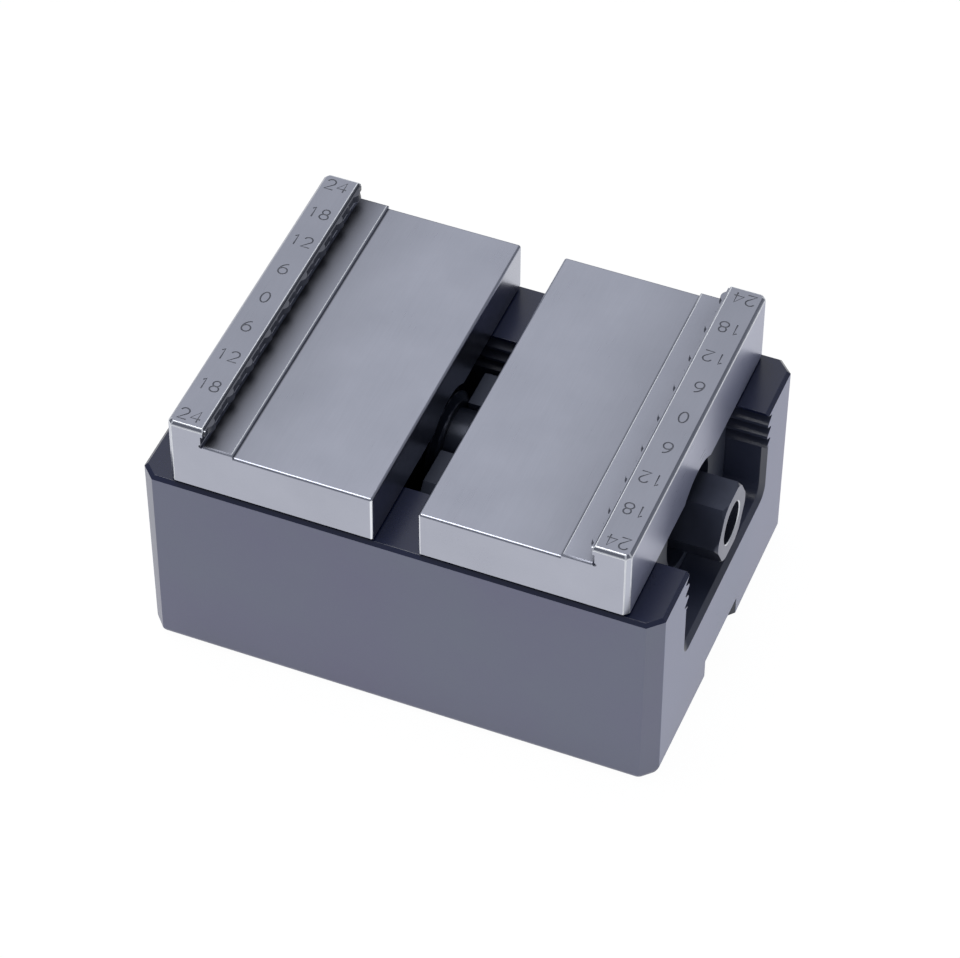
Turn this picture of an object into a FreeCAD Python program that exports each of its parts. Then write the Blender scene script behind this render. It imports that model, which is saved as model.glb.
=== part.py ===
import FreeCAD, Part
import os
from math import cos, pi, radians, sqrt, tan

from FreeCAD import Vector

# A self-centering vise. X runs along the spindle, Y along the jaws, Z up, and the origin is at the
# centre of the underside. Two equal jaws, turned half a turn from each other, ride on ribbed carriages
# in a grooved channel, and one spindle with a left-hand and a right-hand thread draws them together.
# All sizes are in millimetres.

# Body
body_length = 74.0
body_width = 53.0
body_height = 31.6
body_corner_chamfer = 2.0
body_top_chamfer = 0.5
body_foot_chamfer = 1.2
channel_width = 31.0
channel_corner_radius = 2.0
channel_mouth_chamfer = 0.7

# Guide grooves in the channel walls, and the ribs on the carriages
groove_count = 3
groove_pitch = 2.2
groove_depth = 1.3
groove_root = 0.25
groove_half_angle = 30.0
first_groove_drop = 1.3
guide_clearance = 0.05
floor_clearance = 0.3

# Underside of the body
keyway_width = 12.5
keyway_depth = 4.2
base_thread_radius = 2.5
base_thread_depth = 12.0
base_thread_end_inset = 12.0
base_thread_side_inset = 7.5
pin_bore_radius = 3.0
pin_bore_depth = 8.0
pin_bore_end_inset = 7.0
drill_point_angle = 118.0

# Spindle
spindle_drop = 5.8
spindle_length = 75.0
thread_radius = 7.0
thread_half_length = 25.5
thread_end_chamfer = 0.8
journal_radius = 4.8
journal_width = 5.0
neck_radius = 5.0
neck_length = 1.0
hex_flats = 10.0
hex_end_chamfer = 0.45
socket_flats = 5.0
socket_depth = 5.0
socket_mouth_radius = 3.05
socket_mouth_depth = 1.0
running_clearance = 0.05

# Jaws, measured from the outer face of each jaw inwards
jaw_side_inset = 0.3
jaw_length = 29.2
jaw_gap = 6.4
jaw_lift = 0.4
plate_thickness = 7.4
ledge_rise = 0.5
lip_rise = 3.0
lip_width = 5.2
ledge_end = 9.4
lip_rim_chamfer = 0.45
jaw_corner_chamfer = 0.65
jaw_edge_round = 0.4
lip_inner_bevel = 0.2
wrench_radius = 8.0

# Gripping teeth along the inner edge of each lip
tooth_spacing = 3.0
tooth_end_margin = 1.0
tooth_drop = 0.35
tooth_height = 0.9
tooth_rail_reach = 0.25
large_tooth_reach = 0.85
large_tooth_width = 2.4
small_tooth_reach = 0.5
small_tooth_width = 1.5
tooth_taper = 0.15
lip_undercut = 0.35
corner_relief = 0.3

# Carriages
carriage_outer_inset = 1.2
carriage_inner_inset = 4.8
nut_length = 11.5
boss_radius = 9.0
boss_clearance = 0.3
carriage_end_chamfer = 0.4
carriage_floor_wall = 1.3

# Screws and dowels that hold the jaws to their carriages
jaw_screw_radius = 2.0
jaw_screw_length = 16.0
jaw_screw_head_radius = 3.5
jaw_screw_head_height = 4.0
jaw_screw_socket = 3.0
jaw_screw_side_inset = 4.45
jaw_screw_first = 5.0
jaw_screw_step = 8.0
jaw_dowel_radius = 1.5
jaw_dowel_length = 10.0
jaw_dowel_side_inset = 3.65
jaw_dowel_end_inset = 4.0

# Centre fork, set in from below, with its screws and dowels
fork_side_gap = 2.5
fork_rise = 3.0
fork_foot_side_wall = 2.5
fork_foot_width = 20.0
fork_foot_height = 6.0
fork_foot_recess = 4.6
fork_corner_radius = 2.0
fork_fit = 0.1
fork_screw_radius = 2.0
fork_screw_length = 12.0
fork_screw_head_radius = 3.5
fork_screw_head_height = 2.8
fork_screw_socket = 2.5
fork_screw_spacing_x = 10.0
fork_screw_end_inset = 5.1
fork_dowel_radius = 1.5
fork_dowel_length = 10.0
fork_dowel_end_inset = 3.0

# Clearances and small features shared by the fasteners
screw_fit = 0.05
screw_pocket_clearance = 0.15
screw_hole_clearance = 0.15
socket_share_of_head = 0.55
cut_margin = 1.0
edge_reach = 0.05

# Levels and places that follow from the sizes above
half_channel = channel_width / 2
spindle_height = body_height - spindle_drop
channel_floor = spindle_height - wrench_radius - carriage_floor_wall - floor_clearance
base_thread_x = body_length / 2 - base_thread_end_inset
base_thread_y = body_width / 2 - base_thread_side_inset
pin_bore_x = body_length / 2 - pin_bore_end_inset
jaw_width = body_width - 2 * jaw_side_inset
jaw_bottom = body_height + jaw_lift
plate_top = jaw_bottom + plate_thickness
ledge_top = plate_top + ledge_rise
lip_top = ledge_top + lip_rise
jaw_inner_x = jaw_gap / 2
jaw_outer_x = jaw_inner_x + jaw_length
carriage_inner_x = jaw_inner_x + carriage_inner_inset
carriage_outer_x = jaw_outer_x - carriage_outer_inset
carriage_bottom = channel_floor + floor_clearance
carriage_half_width = half_channel - guide_clearance
jaw_screw_y = carriage_half_width - jaw_screw_side_inset
jaw_dowel_y = carriage_half_width - jaw_dowel_side_inset
groove_mouth_half = groove_root / 2 + groove_depth * tan(radians(groove_half_angle))
groove_heights = [body_height - first_groove_drop - i * groove_pitch for i in range(groove_count)]
fork_seat = fork_foot_recess + fork_foot_height
fork_thickness = journal_width - 2 * fork_fit
fork_width = channel_width - 2 * fork_side_gap
fork_foot_length = body_width - 2 * fork_foot_side_wall
fork_screw_y = fork_foot_length / 2 - fork_screw_end_inset
fork_dowel_y = fork_foot_length / 2 - fork_dowel_end_inset


def along_x(radius, x_start, x_end):
    """A cylinder about the spindle's axis from x_start to x_end."""
    foot = Vector(x_start, 0, spindle_height)
    return Part.makeCylinder(radius, x_end - x_start, foot, Vector(1, 0, 0))


def upright(radius, x, y, z_low, z_high):
    """A cylinder that stands at x, y."""
    return Part.makeCylinder(radius, z_high - z_low, Vector(x, y, z_low))


def block(x_low, x_high, y_low, y_high, z_low, z_high):
    """A box given by its limits."""
    size = (x_high - x_low, y_high - y_low, z_high - z_low)
    return Part.makeBox(*size, Vector(x_low, y_low, z_low))


def prism(points, sweep):
    """A polygon swept along a straight line."""
    return Part.Face(Part.makePolygon(points + points[:1])).extrude(sweep)


def hexagon(flats, x, turn=0.0):
    """The corners of a hexagon about the spindle's axis, with flats above and below."""
    corner = Vector(0, flats / sqrt(3), 0)
    spin = FreeCAD.Rotation(Vector(1, 0, 0), turn)
    step = FreeCAD.Rotation(Vector(1, 0, 0), 60)
    points = []
    arm = spin.multVec(corner)
    for _ in range(6):
        points.append(Vector(x, 0, spindle_height) + arm)
        arm = step.multVec(arm)
    return points


def chamfered(shape, size, wanted):
    """The shape with a chamfer on each edge that the test picks."""
    edges = [edge for edge in shape.Edges if wanted(edge)]
    return shape.makeChamfer(size, edges)


def rounded(shape, radius, wanted):
    """The shape with a rounding on each edge that the test picks."""
    edges = [edge for edge in shape.Edges if wanted(edge)]
    return shape.makeFillet(radius, edges)


def blind_hole(radius, x, y, z_mouth, z_floor):
    """A drilled hole with its cone, from z_mouth to the full-width depth z_floor."""
    direction = 1 if z_floor > z_mouth else -1
    start = z_mouth - direction * cut_margin
    hole = Part.makeCylinder(radius, abs(z_floor - start), Vector(x, y, start), Vector(0, 0, direction))
    point = radius / tan(radians(drill_point_angle / 2))
    cone = Part.makeCone(radius, 0, point, Vector(x, y, z_floor), Vector(0, 0, direction))
    return hole.fuse(cone)


def flat_hole(radius, x, y, z_mouth, z_floor):
    """A hole with a flat floor at z_floor, reamed or tapped to its end."""
    beyond = cut_margin if z_mouth > z_floor else -cut_margin
    return upright(radius, x, y, min(z_floor, z_mouth + beyond), max(z_floor, z_mouth + beyond))


def both_turns(shape):
    """The shape and its copy turned half a turn about Z."""
    return [shape, half_turn(shape)]


def half_turn(shape):
    """The shape turned half a turn about Z, as the left-hand pieces are."""
    turned = shape.copy()
    turned.rotate(Vector(0, 0, 0), Vector(0, 0, 1), 180)
    return turned


def channel_wire(x, growth):
    """The channel below its grooves, as a wire at x, grown outwards by the chamfer's width."""
    side = half_channel + growth
    floor = channel_floor - growth
    top = groove_heights[-1] - groove_mouth_half
    radius = channel_corner_radius
    inset = radius * (1 - cos(pi / 4))

    def point(y, z):
        return Vector(x, y, z)

    left_arc = Part.Arc(
        point(-side, floor + radius), point(-side + inset, floor + inset), point(-side + radius, floor)
    )
    right_arc = Part.Arc(
        point(side - radius, floor), point(side - inset, floor + inset), point(side, floor + radius)
    )
    edges = [
        Part.makeLine(point(-side, top), point(-side, floor + radius)),
        left_arc.toShape(),
        Part.makeLine(point(-side + radius, floor), point(side - radius, floor)),
        right_arc.toShape(),
        Part.makeLine(point(side, floor + radius), point(side, top)),
        Part.makeLine(point(side, top), point(-side, top)),
    ]
    return Part.Wire(edges)


def guide_vee(side, wall, height, mouth_half, root_half, x_start, x_end):
    """One rib or groove of the guide: a flat-nosed vee that points away from the channel's middle."""
    outline = [
        Vector(x_start, side * (wall - cut_margin), height - mouth_half),
        Vector(x_start, side * wall, height - mouth_half),
        Vector(x_start, side * (wall + groove_depth), height - root_half),
        Vector(x_start, side * (wall + groove_depth), height + root_half),
        Vector(x_start, side * wall, height + mouth_half),
        Vector(x_start, side * (wall - cut_margin), height + mouth_half),
    ]
    return prism(outline, Vector(x_end - x_start, 0, 0))


def make_body():
    """The U-shaped base: grooved channel above, keyway and mounting holes below."""
    half_l = body_length / 2
    half_w = body_width / 2
    solid = block(-half_l, half_l, -half_w, half_w, 0, body_height)
    solid = chamfered(solid, body_corner_chamfer, lambda edge: edge.BoundBox.ZLength > cut_margin)
    solid = chamfered(solid, body_foot_chamfer, lambda edge: edge.BoundBox.ZMax < cut_margin)
    solid = chamfered(solid, body_top_chamfer, lambda edge: edge.BoundBox.ZMin > body_height - cut_margin)
    far = half_l + cut_margin
    cuts = []
    through = Part.Face(channel_wire(-far, 0)).extrude(Vector(2 * far, 0, 0))
    cuts.append(through)
    upper = groove_heights[-1] - groove_mouth_half
    cuts.append(block(-far, far, -half_channel, half_channel, upper, body_height + cut_margin))
    for side in (-1, 1):
        for height in groove_heights:
            cuts.append(guide_vee(side, half_channel, height, groove_mouth_half, groove_root / 2, -far, far))
    mouth = [channel_wire(half_l, channel_mouth_chamfer), channel_wire(half_l - channel_mouth_chamfer, 0)]
    cuts += both_turns(Part.makeLoft(mouth, True, True))
    half_key = keyway_width / 2
    cuts.append(block(-far, far, -half_key, half_key, -cut_margin, keyway_depth))
    cuts += fork_cuts()
    for x in (-base_thread_x, base_thread_x):
        for y in (-base_thread_y, base_thread_y):
            cuts.append(blind_hole(base_thread_radius, x, y, 0, base_thread_depth))
    for x in (-pin_bore_x, pin_bore_x):
        cuts.append(blind_hole(pin_bore_radius, x, 0, keyway_depth, keyway_depth + pin_bore_depth))
    return solid.cut(cuts)


def rounded_block(length_x, length_y, z_low, z_high, radius):
    """A box centred on Z with rounded upright edges."""
    solid = block(-length_x / 2, length_x / 2, -length_y / 2, length_y / 2, z_low, z_high)
    edges = [edge for edge in solid.Edges if edge.BoundBox.ZLength > cut_margin]
    return solid.makeFillet(radius, edges)


def fork_screw_places():
    """The four places of the fork's screws."""
    half_x = fork_screw_spacing_x / 2
    return [(x, y) for x in (-half_x, half_x) for y in (-fork_screw_y, fork_screw_y)]


def fork_cuts():
    """What the fork needs in the body: a pocket, a window, four threads and two dowel holes."""
    pocket = rounded_block(
        fork_foot_width + 2 * fork_fit,
        fork_foot_length + 2 * fork_fit,
        -cut_margin,
        fork_seat,
        fork_corner_radius,
    )
    window_x = fork_thickness / 2 + fork_fit
    window_y = fork_width / 2 + fork_fit
    window = block(-window_x, window_x, -window_y, window_y, 0, channel_floor + cut_margin)
    cuts = [pocket, window]
    thread_floor = fork_screw_seat() + fork_screw_length + floor_clearance
    for x, y in fork_screw_places():
        cuts.append(flat_hole(fork_screw_radius + screw_fit, x, y, fork_seat, thread_floor))
    dowel_floor = fork_seat + fork_dowel_length / 2 + floor_clearance
    for y in (-fork_dowel_y, fork_dowel_y):
        cuts.append(flat_hole(fork_dowel_radius, 0, y, fork_seat, dowel_floor))
    return cuts


def fork_screw_seat():
    """The level that the heads of the fork's screws press on."""
    return fork_foot_recess + fork_screw_head_height + screw_pocket_clearance


def make_fork():
    """The centre fork: a foot below, and a plate above whose slot holds the spindle's journal."""
    foot = rounded_block(fork_foot_width, fork_foot_length, fork_foot_recess, fork_seat, fork_corner_radius)
    half_t = fork_thickness / 2
    half_w = fork_width / 2
    top = spindle_height + fork_rise
    plate = block(-half_t, half_t, -half_w, half_w, fork_seat, top)
    plate = chamfered(
        plate,
        fork_corner_radius,
        lambda edge: edge.BoundBox.ZMin > top - cut_margin and edge.BoundBox.XLength > cut_margin,
    )
    slot_radius = journal_radius + running_clearance
    cuts = [along_x(slot_radius, -half_t - cut_margin, half_t + cut_margin)]
    above = top + cut_margin
    cuts.append(block(-fork_thickness, fork_thickness, -slot_radius, slot_radius, spindle_height, above))
    seat = fork_screw_seat()
    for x, y in fork_screw_places():
        cuts.append(upright(fork_screw_radius + screw_hole_clearance, x, y, 0, fork_seat + cut_margin))
        cuts.append(upright(fork_screw_head_radius + screw_pocket_clearance, x, y, 0, seat))
    for y in (-fork_dowel_y, fork_dowel_y):
        cuts.append(upright(fork_dowel_radius, 0, y, 0, fork_seat + cut_margin))
    return foot.fuse(plate).cut(cuts).removeSplitter()


def make_spindle():
    """The spindle: journal in the middle, a thread on each side of it, a hexagon at each end."""
    half_journal = journal_width / 2
    half_length = spindle_length / 2
    hex_start = thread_half_length + neck_length
    outline = [
        (0, 0),
        (0, journal_radius),
        (half_journal, journal_radius),
        (half_journal, thread_radius - thread_end_chamfer / 2),
        (half_journal + thread_end_chamfer / 2, thread_radius),
        (thread_half_length - thread_end_chamfer, thread_radius),
        (thread_half_length, thread_radius - thread_end_chamfer),
        (thread_half_length, neck_radius),
        (hex_start, neck_radius),
        (hex_start, 0),
    ]
    points = [Vector(x, 0, spindle_height + r) for x, r in outline]
    face = Part.Face(Part.makePolygon(points + points[:1]))
    core = face.revolve(Vector(0, 0, spindle_height), Vector(1, 0, 0), 360)
    hexagonal = prism(hexagon(hex_flats, hex_start), Vector(half_length - hex_start, 0, 0))
    corner = hex_flats / sqrt(3)
    turned_end = [
        (hex_start, 0),
        (hex_start, corner - hex_end_chamfer),
        (hex_start + hex_end_chamfer, corner),
        (half_length - hex_end_chamfer, corner),
        (half_length, corner - hex_end_chamfer),
        (half_length, 0),
    ]
    points = [Vector(x, 0, spindle_height + r) for x, r in turned_end]
    turned = Part.Face(Part.makePolygon(points + points[:1]))
    turned = turned.revolve(Vector(0, 0, spindle_height), Vector(1, 0, 0), 360)
    hexagonal = hexagonal.common(turned)
    socket = prism(hexagon(socket_flats, half_length - socket_depth), Vector(socket_depth + cut_margin, 0, 0))
    mouth = along_x(socket_mouth_radius, half_length - socket_mouth_depth, half_length + cut_margin)
    half = core.fuse(hexagonal).cut([socket, mouth])
    return half.fuse(half_turn(half)).removeSplitter()


def jaw_screw_places():
    """Where the screws of the right-hand jaw stand."""
    first = carriage_inner_x + jaw_screw_first
    rows = (first, first + jaw_screw_step)
    return [(x, y) for x in rows for y in (-jaw_screw_y, jaw_screw_y)]


def jaw_dowel_places():
    """Where the dowels of the right-hand jaw stand."""
    x = carriage_outer_x - jaw_dowel_end_inset
    return [(x, -jaw_dowel_y), (x, jaw_dowel_y)]


def jaw_screw_seat():
    """The level that the heads of the jaw screws press on."""
    return carriage_bottom + jaw_screw_head_height + screw_pocket_clearance


def make_carriage():
    """The right-hand carriage: ribs for the guide grooves, the nut's bore and a boss that locates the jaw."""
    half_w = carriage_half_width
    length = carriage_outer_x - carriage_inner_x
    solid = block(carriage_inner_x, carriage_outer_x, -half_w, half_w, carriage_bottom, jaw_bottom)

    def lower_corner(edge):
        return edge.BoundBox.ZMax < carriage_bottom + cut_margin and edge.BoundBox.XLength > cut_margin

    solid = chamfered(solid, channel_corner_radius, lower_corner)

    def upright_end(edge):
        box = edge.BoundBox
        return box.ZLength > cut_margin and box.XLength < cut_margin and box.YLength < cut_margin

    solid = chamfered(solid, carriage_end_chamfer, upright_end)
    ribs = []
    mouth_half = groove_mouth_half - guide_clearance
    root_half = groove_root / 2 - guide_clearance
    rib_start = carriage_inner_x + carriage_end_chamfer
    rib_end = carriage_outer_x - carriage_end_chamfer
    for side in (-1, 1):
        for height in groove_heights:
            ribs.append(guide_vee(side, half_w, height, mouth_half, root_half, rib_start, rib_end))
    boss = along_x(boss_radius, carriage_inner_x, carriage_outer_x)
    solid = solid.fuse(ribs + [boss])
    cuts = [along_x(thread_radius + running_clearance, carriage_inner_x - cut_margin, carriage_outer_x)]
    cuts.append(along_x(wrench_radius, carriage_inner_x + nut_length, carriage_inner_x + length + cut_margin))
    seat = jaw_screw_seat()
    for x, y in jaw_screw_places():
        cuts.append(upright(jaw_screw_radius + screw_hole_clearance, x, y, 0, jaw_bottom + cut_margin))
        cuts.append(upright(jaw_screw_head_radius + screw_pocket_clearance, x, y, 0, seat))
    for x, y in jaw_dowel_places():
        floor = jaw_bottom - jaw_dowel_length / 2 - floor_clearance
        cuts.append(flat_hole(jaw_dowel_radius, x, y, jaw_bottom, floor))
    return solid.cut(cuts).removeSplitter()


def tooth(y, reach, width):
    """One gripping tooth: a piece of an upright cone that stands out of the lip by its reach."""
    radius = (width * width / 4 + reach * reach) / (2 * reach)
    centre_x = jaw_outer_x - lip_width - reach + radius
    low = lip_top - tooth_drop - tooth_height
    return Part.makeCone(radius, radius - tooth_taper, tooth_height, Vector(centre_x, y, low))


def make_teeth():
    """The rail of teeth: large and small ones in turn along the inner edge of the lip."""
    half_w = jaw_width / 2 - jaw_edge_round
    inner = jaw_outer_x - lip_width
    top = lip_top - tooth_drop
    low = top - tooth_height
    rail = block(inner - tooth_rail_reach, inner + lip_undercut, -half_w, half_w, low, top)
    count = int((half_w - tooth_end_margin) / tooth_spacing)
    teeth = []
    for i in range(-count, count + 1):
        large = i % 2 == 0
        reach = large_tooth_reach if large else small_tooth_reach
        width = large_tooth_width if large else small_tooth_width
        teeth.append(tooth(i * tooth_spacing, reach, width))
    behind = block(inner - lip_width, inner + lip_undercut, -half_w, half_w, low, top)
    return rail.fuse([one.common(behind) for one in teeth])


def make_jaw():
    """The right-hand jaw: plate, ledge for the workpiece and toothed lip, hollow below for the boss."""
    half_w = jaw_width / 2
    profile = [
        (0, jaw_bottom),
        (0, lip_top),
        (lip_width, lip_top),
        (lip_width, ledge_top),
        (ledge_end, ledge_top),
        (ledge_end, plate_top),
        (jaw_length, plate_top),
        (jaw_length, jaw_bottom),
    ]
    points = [Vector(jaw_outer_x - u, -half_w, z) for u, z in profile]
    solid = prism(points, Vector(0, jaw_width, 0))

    def outer_upright(edge):
        return edge.BoundBox.ZLength > cut_margin and edge.BoundBox.XMin > jaw_outer_x - cut_margin

    def inner_upright(edge):
        return edge.BoundBox.ZLength > cut_margin and edge.BoundBox.XMax < jaw_inner_x + cut_margin

    solid = chamfered(solid, jaw_corner_chamfer, outer_upright)
    solid = rounded(solid, jaw_edge_round, inner_upright)

    def rim(level):
        def wanted(edge):
            box = edge.BoundBox
            at_level = abs(box.ZMin - level) < edge_reach and abs(box.ZMax - level) < edge_reach
            across = box.XLength < edge_reach and box.YLength > jaw_width / 2
            outside = box.XMin > jaw_outer_x - edge_reach or box.XMax < jaw_inner_x + edge_reach
            return at_level and (outside or not across)

        return wanted

    solid = chamfered(solid, lip_rim_chamfer, rim(lip_top))
    for level in (ledge_top, plate_top):
        solid = rounded(solid, jaw_edge_round, rim(level))
    inner = jaw_outer_x - lip_width
    undercut_top = lip_top - tooth_drop - tooth_height
    far = half_w + cut_margin
    cuts = [block(inner - cut_margin / 2, inner + lip_undercut, -far, far, ledge_top, undercut_top)]
    bevel = [
        Vector(inner - cut_margin, -far, lip_top - lip_inner_bevel - cut_margin),
        Vector(inner + lip_inner_bevel + cut_margin, -far, lip_top + cut_margin),
        Vector(inner - cut_margin, -far, lip_top + cut_margin),
    ]
    cuts.append(prism(bevel, Vector(0, 2 * far, 0)))
    relief = Part.makeCylinder(
        corner_relief, 2 * far, Vector(inner + lip_undercut, -far, ledge_top), Vector(0, 1, 0)
    )
    cuts.append(relief)
    cuts.append(along_x(wrench_radius, jaw_inner_x - cut_margin, jaw_outer_x + cut_margin))
    pocket_start = carriage_inner_x - boss_clearance
    pocket_end = carriage_outer_x + boss_clearance
    cuts.append(along_x(boss_radius + boss_clearance, pocket_start, pocket_end))
    thread_floor = jaw_screw_seat() + jaw_screw_length + screw_pocket_clearance
    for x, y in jaw_screw_places():
        cuts.append(flat_hole(jaw_screw_radius + screw_fit, x, y, jaw_bottom, thread_floor))
    for x, y in jaw_dowel_places():
        cuts.append(flat_hole(jaw_dowel_radius, x, y, jaw_bottom, jaw_bottom + jaw_dowel_length / 2))
    return solid.cut(cuts).fuse(make_teeth()).removeSplitter()


def cap_screw(radius, length, head_radius, head_height, socket, x, y, seat):
    """A socket-head screw that points up, with the underside of its head on the seat."""
    head = upright(head_radius, x, y, seat - head_height, seat)
    shank = upright(radius, x, y, seat - head_height / 2, seat + length)
    corner = socket / sqrt(3)
    step = FreeCAD.Rotation(Vector(0, 0, 1), 60)
    arm = Vector(corner, 0, 0)
    points = []
    for _ in range(6):
        points.append(Vector(x, y, seat - head_height) + arm)
        arm = step.multVec(arm)
    recess = prism(points, Vector(0, 0, head_height * socket_share_of_head))
    return head.fuse(shank).cut(recess).removeSplitter()


def jaw_screws():
    """The screws of the right-hand jaw, one solid each."""
    screws = []
    for x, y in jaw_screw_places():
        screws.append(
            cap_screw(
                jaw_screw_radius,
                jaw_screw_length,
                jaw_screw_head_radius,
                jaw_screw_head_height,
                jaw_screw_socket,
                x,
                y,
                jaw_screw_seat(),
            )
        )
    return screws


def fork_screws():
    """The screws of the centre fork, one solid each."""
    screws = []
    for x, y in fork_screw_places():
        screws.append(
            cap_screw(
                fork_screw_radius,
                fork_screw_length,
                fork_screw_head_radius,
                fork_screw_head_height,
                fork_screw_socket,
                x,
                y,
                fork_screw_seat(),
            )
        )
    return screws


def build():
    """Every node of the vise by name."""
    jaw = make_jaw()
    carriage = make_carriage()
    nodes = {
        "body": make_body(),
        "centre_fork": make_fork(),
        "spindle": make_spindle(),
        "right_jaw": jaw,
        "left_jaw": half_turn(jaw),
        "right_carriage": carriage,
        "left_carriage": half_turn(carriage),
    }
    for number, screw in enumerate(jaw_screws(), 1):
        nodes[f"right_jaw_screw_{number}"] = screw
        nodes[f"left_jaw_screw_{number}"] = half_turn(screw)
    for number, (x, y) in enumerate(jaw_dowel_places(), 1):
        half = jaw_dowel_length / 2
        pin = upright(jaw_dowel_radius, x, y, jaw_bottom - half, jaw_bottom + half)
        nodes[f"right_jaw_dowel_{number}"] = pin
        nodes[f"left_jaw_dowel_{number}"] = half_turn(pin)
    for number, screw in enumerate(fork_screws(), 1):
        nodes[f"fork_screw_{number}"] = screw
    for number, y in enumerate((-fork_dowel_y, fork_dowel_y), 1):
        half = fork_dowel_length / 2
        pin = upright(fork_dowel_radius, 0, y, fork_seat - half, fork_seat + half)
        nodes[f"fork_dowel_{number}"] = pin
    return nodes


os.makedirs("parts", exist_ok=True)
for name, shape in build().items():
    shape.exportStep(f"parts/{name}.step")
    box = shape.BoundBox
    low = (round(box.XMin, 2), round(box.YMin, 2), round(box.ZMin, 2))
    high = (round(box.XMax, 2), round(box.YMax, 2), round(box.ZMax, 2))
    print(name, len(shape.Solids), shape.isValid(), round(shape.Volume, 1), low, high)
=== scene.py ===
import math

import bmesh
import bpy
import numpy as np
from mathutils import Matrix, Vector


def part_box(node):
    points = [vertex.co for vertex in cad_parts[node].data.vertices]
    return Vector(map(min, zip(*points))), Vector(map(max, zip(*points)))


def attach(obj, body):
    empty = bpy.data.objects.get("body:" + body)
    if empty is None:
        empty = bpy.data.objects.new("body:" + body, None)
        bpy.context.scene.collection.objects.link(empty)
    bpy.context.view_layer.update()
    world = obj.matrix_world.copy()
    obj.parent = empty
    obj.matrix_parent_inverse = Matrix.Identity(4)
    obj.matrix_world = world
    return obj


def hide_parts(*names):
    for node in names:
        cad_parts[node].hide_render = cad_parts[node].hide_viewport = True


# A self-centering vise: a grooved channel body, a spindle with a left-hand and a right-hand thread held by
# a centre fork, and two ribbed carriages that carry the jaws. Lengths in this file are metres, as in the
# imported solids, and MM turns a size in millimetres into them.
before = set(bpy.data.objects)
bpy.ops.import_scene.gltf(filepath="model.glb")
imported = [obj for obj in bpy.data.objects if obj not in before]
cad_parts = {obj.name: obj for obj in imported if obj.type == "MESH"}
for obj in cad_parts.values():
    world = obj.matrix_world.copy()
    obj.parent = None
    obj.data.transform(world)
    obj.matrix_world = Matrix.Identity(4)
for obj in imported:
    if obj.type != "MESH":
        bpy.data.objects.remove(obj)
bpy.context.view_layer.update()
MM = 0.001


# Body
# The U-shaped base, milled from one bar of tool steel: guide grooves in the channel's walls, a keyway, four
# threads and two pin bores underneath. It is ground, then blackened, which leaves a dark slate sheen, and
# every edge is broken by hand.

body_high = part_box("body")[1]
TOP_CHAMFER = 0.5 * MM
FOOT_CHAMFER = 1.2 * MM
KEYWAY_HALF_WIDTH = 6.25 * MM
FOOT_ROUND = 0.45 * MM
EDGE_BREAK = 0.12 * MM
NEAR = 0.1 * MM
SHARP_ANGLE = math.radians(32)
COAT_RELIEF = 0.001 * MM


class Strand:
    """One socket of a finish's nodes. Sums, differences and products of strands add Math nodes."""

    def __init__(self, tree, socket):
        self.tree = tree
        self.socket = socket

    def node(self, kind, settings, inputs, output=0):
        """Adds a node of this kind, with its settings first and then its sockets' values or links."""
        made = self.tree.nodes.new(kind)
        for name, value in settings.items():
            setattr(made, name, value)
        for name, value in inputs.items():
            if isinstance(value, Strand):
                self.tree.links.new(value.socket, made.inputs[name])
            else:
                made.inputs[name].default_value = value
        return Strand(self.tree, made.outputs[output])

    def maths(self, operation, first, second):
        return self.node("ShaderNodeMath", {"operation": operation}, {0: first, 1: second})

    def __add__(self, other):
        return self.maths("ADD", self, other)

    def __radd__(self, other):
        return self.maths("ADD", other, self)

    def __sub__(self, other):
        return self.maths("SUBTRACT", self, other)

    def __rsub__(self, other):
        return self.maths("SUBTRACT", other, self)

    def __mul__(self, other):
        return self.maths("MULTIPLY", self, other)

    def __rmul__(self, other):
        return self.maths("MULTIPLY", other, self)

    def stretched(self, x, y, z):
        """This vector with each axis multiplied, so that a pattern is finer along the larger numbers."""
        return self.node("ShaderNodeVectorMath", {"operation": "MULTIPLY"}, {0: self, 1: (x, y, z)})

    def reach(self, axis):
        """How far this point lies from the middle along one axis."""
        along = self.node("ShaderNodeSeparateXYZ", {}, {0: self}, output=axis)
        return along.maths("ABSOLUTE", along, 0.0)

    def grain(self, scale, detail=2.0, roughness=0.5):
        """Noise from 0 to 1 with this many cells to the metre."""
        inputs = {"Vector": self, "Scale": scale, "Detail": detail, "Roughness": roughness}
        return self.node("ShaderNodeTexNoise", {}, inputs)

    def between(self, low, high):
        """This value spread over 0 to 1 from low to high, and held there beyond them."""
        inputs = {"Value": self, "From Min": low, "From Max": high}
        return self.node("ShaderNodeMapRange", {"clamp": True}, inputs)

    def past(self, place, soft):
        """0 short of this place and 1 past it, with a border that is soft by this much on each side."""
        return self.between(place - soft, place + soft)

    def blend(self, first, second):
        """A colour that goes from the first to the second as this value goes from 0 to 1."""
        inputs = {0: self, 6: first, 7: second}
        return self.node("ShaderNodeMix", {"data_type": "RGBA"}, inputs, output=2)


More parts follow.
